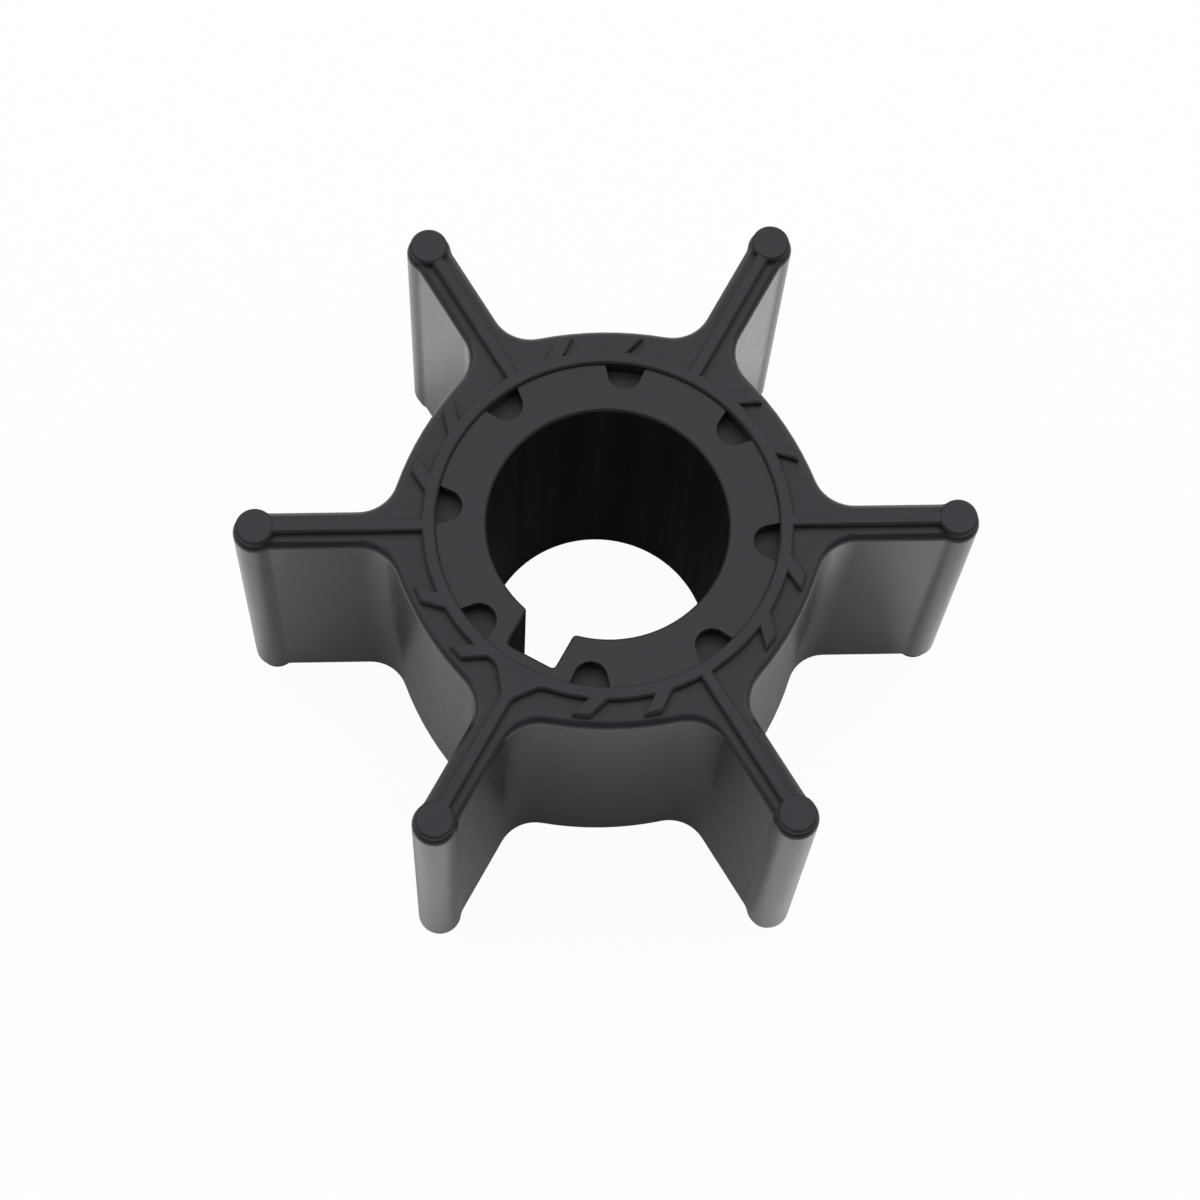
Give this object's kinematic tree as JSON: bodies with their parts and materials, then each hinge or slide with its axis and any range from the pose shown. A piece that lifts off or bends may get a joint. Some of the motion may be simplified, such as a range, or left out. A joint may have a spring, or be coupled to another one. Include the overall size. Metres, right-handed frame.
{
  "type": "pump impeller",
  "caption": "Flexible-vane impeller for a water pump: straight rubber vanes with round tips, moulded on a fluted bush with a keyed bore.",
  "frame": {"origin": "on the bore axis, at the level of the lowest rubber (the discs on the lower vane tips)", "axes": "+Z along the bore axis, +X through the tip of a vane; the keyway points 240 degrees round from +X, anticlockwise seen from +Z"},
  "size_m": [0.044, 0.0386, 0.023],
  "materials": {
    "bush_plastic": "satin",
    "rubber": "satin moulded"
  },
  "bodies": {
    "root": {"hub_bush": "bush_plastic", "vane_ring": "rubber"}
  },
  "joints": []
}
